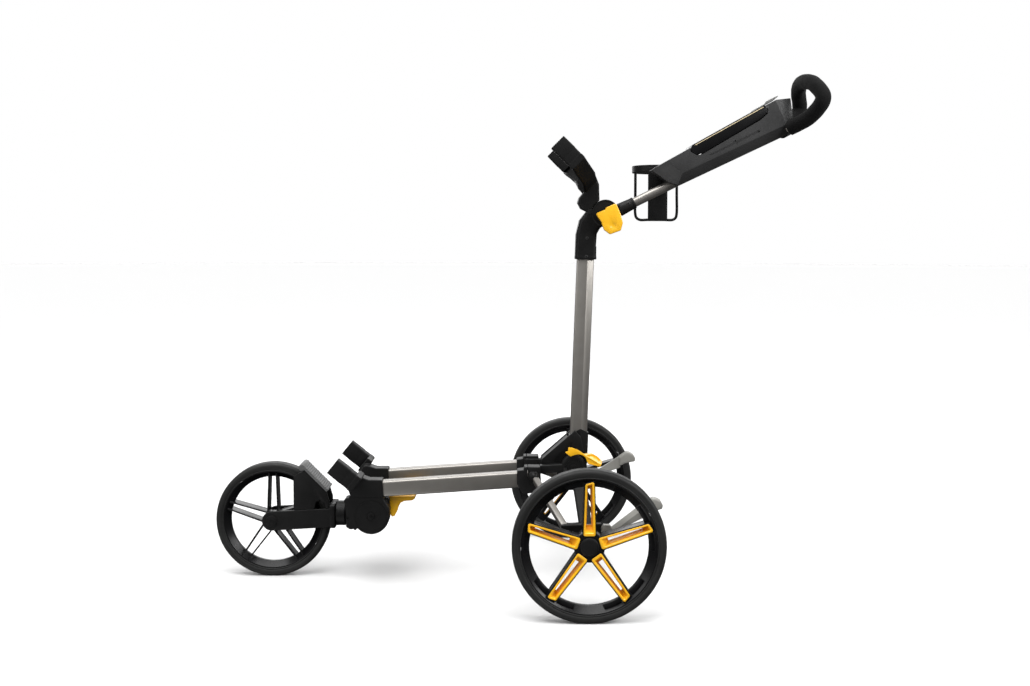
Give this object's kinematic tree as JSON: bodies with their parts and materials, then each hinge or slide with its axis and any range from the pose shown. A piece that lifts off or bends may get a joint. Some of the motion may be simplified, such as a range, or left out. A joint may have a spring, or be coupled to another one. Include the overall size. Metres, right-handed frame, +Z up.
{
  "type": "golf push trolley",
  "caption": "Folding golf push trolley with a front wheel under the bag base, a mast with a bag cradle, and an angled handle with console, hand loop and drink holder.",
  "frame": {"origin": "on the ground, under the middle of the trolley's length and width", "axes": "-X is the way it rolls, +X is towards the person pushing, +Y is the trolley's right side, +Z is up"},
  "size_m": [1.277, 0.61, 1.0665],
  "materials": {
    "aluminium_titanium": "satin anodised, warm grey",
    "black_plastic": "fine moulded texture",
    "gloss_black": "polished moulding",
    "tyre_rubber": "matt rubber",
    "yellow_plastic": "satin moulding",
    "grey_plastic": "satin moulding",
    "ribbed_rubber": "ribbed, matt",
    "black_rubber": "matt",
    "console_grey": "fine moulded texture",
    "steel": "plated",
    "grip_foam": "soft closed-cell foam"
  },
  "bodies": {
    "frame": {"rail_left": "aluminium_titanium", "rail_right": "aluminium_titanium", "rear_clamp_left": "black_plastic", "rear_clamp_right": "black_plastic", "rear_hub": "black_plastic", "mast_pivot_pin": "steel", "leg_hinge_pin_left": "steel", "leg_hinge_pin_right": "steel", "front_housing_left": "black_plastic", "front_housing_right": "black_plastic", "lower_cradle_pad_left": "black_rubber", "lower_cradle_pad_right": "black_rubber", "front_pivot_pin": "steel", "front_latch_pin": "steel"},
    "front_arm": {"front_fork": "black_plastic", "tracking_collar": "black_plastic", "front_knuckle": "black_plastic", "bag_base_bracket": "black_plastic", "bag_base_pad": "ribbed_rubber", "front_axle": "steel"},
    "front_wheel": {"front_tyre": "tyre_rubber", "front_rim": "gloss_black"},
    "tracking_dial": {"tracking_knob": "black_plastic"},
    "left_carrier": {"carrier_leg_left": "black_plastic", "strut_left": "aluminium_titanium", "stand_left": "grey_plastic", "rear_left_axle": "steel"},
    "right_carrier": {"carrier_leg_right": "black_plastic", "strut_right": "aluminium_titanium", "stand_right": "grey_plastic", "rear_right_axle": "steel"},
    "left_wheel": {"rear_left_tyre": "tyre_rubber", "rear_left_rim": "gloss_black", "rear_left_spoke_trim": "yellow_plastic", "rear_left_hub_cap": "black_plastic"},
    "right_wheel": {"rear_right_tyre": "tyre_rubber", "rear_right_rim": "gloss_black", "rear_right_spoke_trim": "yellow_plastic", "rear_right_hub_cap": "black_plastic"},
    "mast": {"mast_tube": "aluminium_titanium", "mast_shoe": "black_plastic", "elbow": "black_plastic", "upper_cradle": "black_plastic", "upper_cradle_pad_left": "black_rubber", "upper_cradle_pad_right": "black_rubber", "clamp_bolt": "steel"},
    "lever": {"clamp_lever": "yellow_plastic"},
    "handle": {"handle_knuckle": "black_plastic", "handle_tube": "aluminium_titanium", "console_body": "console_grey", "grip_core": "aluminium_titanium", "grip_foam": "grip_foam", "holder_mount": "black_plastic"},
    "lid": {"console_lid": "gloss_black", "lid_clip": "steel"},
    "holder": {"drink_holder": "black_plastic"},
    "latch": {"front_latch_lever": "yellow_plastic"},
    "pedal": {"rear_release_pedal": "yellow_plastic"}
  },
  "joints": [
    {"name": "front_fold", "type": "hinge", "parent": "frame", "child": "front_arm", "pos_m": [-0.3015, 0, 0.143], "axis": [0, 1, 0], "range_deg": [-140, 0]},
    {"name": "front_wheel_spin", "type": "hinge", "parent": "front_arm", "child": "front_wheel", "pos_m": [-0.5175, 0, 0.121], "axis": [0, 1, 0], "continuous": true},
    {"name": "tracking_turn", "type": "hinge", "parent": "front_arm", "child": "tracking_dial", "pos_m": [-0.3525, 0, 0.105], "axis": [0, 0, 1], "continuous": true},
    {"name": "left_wheel_fold", "type": "hinge", "parent": "frame", "child": "left_carrier", "pos_m": [0.1345, -0.082, 0.229], "axis": [1, 0, 0], "range_deg": [0, 45]},
    {"name": "right_wheel_fold", "type": "hinge", "parent": "frame", "child": "right_carrier", "pos_m": [0.1345, 0.082, 0.229], "axis": [1, 0, 0], "range_deg": [-45, 0]},
    {"name": "left_wheel_spin", "type": "hinge", "parent": "left_carrier", "child": "left_wheel", "pos_m": [0.1345, -0.29, 0.145], "axis": [0, 1, 0], "continuous": true},
    {"name": "right_wheel_spin", "type": "hinge", "parent": "right_carrier", "child": "right_wheel", "pos_m": [0.1345, 0.29, 0.145], "axis": [0, 1, 0], "continuous": true},
    {"name": "mast_fold", "type": "hinge", "parent": "frame", "child": "mast", "pos_m": [0.1205, 0, 0.24], "axis": [0, 1, 0], "range_deg": [-85, 0]},
    {"name": "clamp_lever_swing", "type": "hinge", "parent": "mast", "child": "lever", "pos_m": [0.187, -0.037, 0.7735], "axis": [-0.9279, 0, -0.3729], "range_deg": [0, 110]},
    {"name": "handle_fold", "type": "hinge", "parent": "mast", "child": "handle", "pos_m": [0.187, 0, 0.7735], "axis": [0, 1, 0], "range_deg": [-12, 114]},
    {"name": "lid_open", "type": "hinge", "parent": "handle", "child": "lid", "pos_m": [0.3655, 0, 0.913], "axis": [0, 1, 0], "range_deg": [-95, 0]},
    {"name": "holder_tilt", "type": "hinge", "parent": "handle", "child": "holder", "pos_m": [0.3025, 0, 0.82], "axis": [0, 1, 0], "range_deg": [-90, 30]},
    {"name": "front_latch_press", "type": "hinge", "parent": "frame", "child": "latch", "pos_m": [-0.2715, 0, 0.172], "axis": [0, 1, 0], "range_deg": [-20, 0], "stiffness_Nm_per_rad": 0.5, "springref_deg": 14.32},
    {"name": "rear_pedal_press", "type": "hinge", "parent": "frame", "child": "pedal", "pos_m": [0.1155, 0, 0.273], "axis": [0, 1, 0], "range_deg": [0, 6], "stiffness_Nm_per_rad": 0.8, "springref_deg": -14.32}
  ],
  "couplings": [
    {"joint": "left_wheel_fold", "follows": "mast_fold", "ratio": -0.529},
    {"joint": "right_wheel_fold", "follows": "mast_fold", "ratio": 0.529}
  ]
}
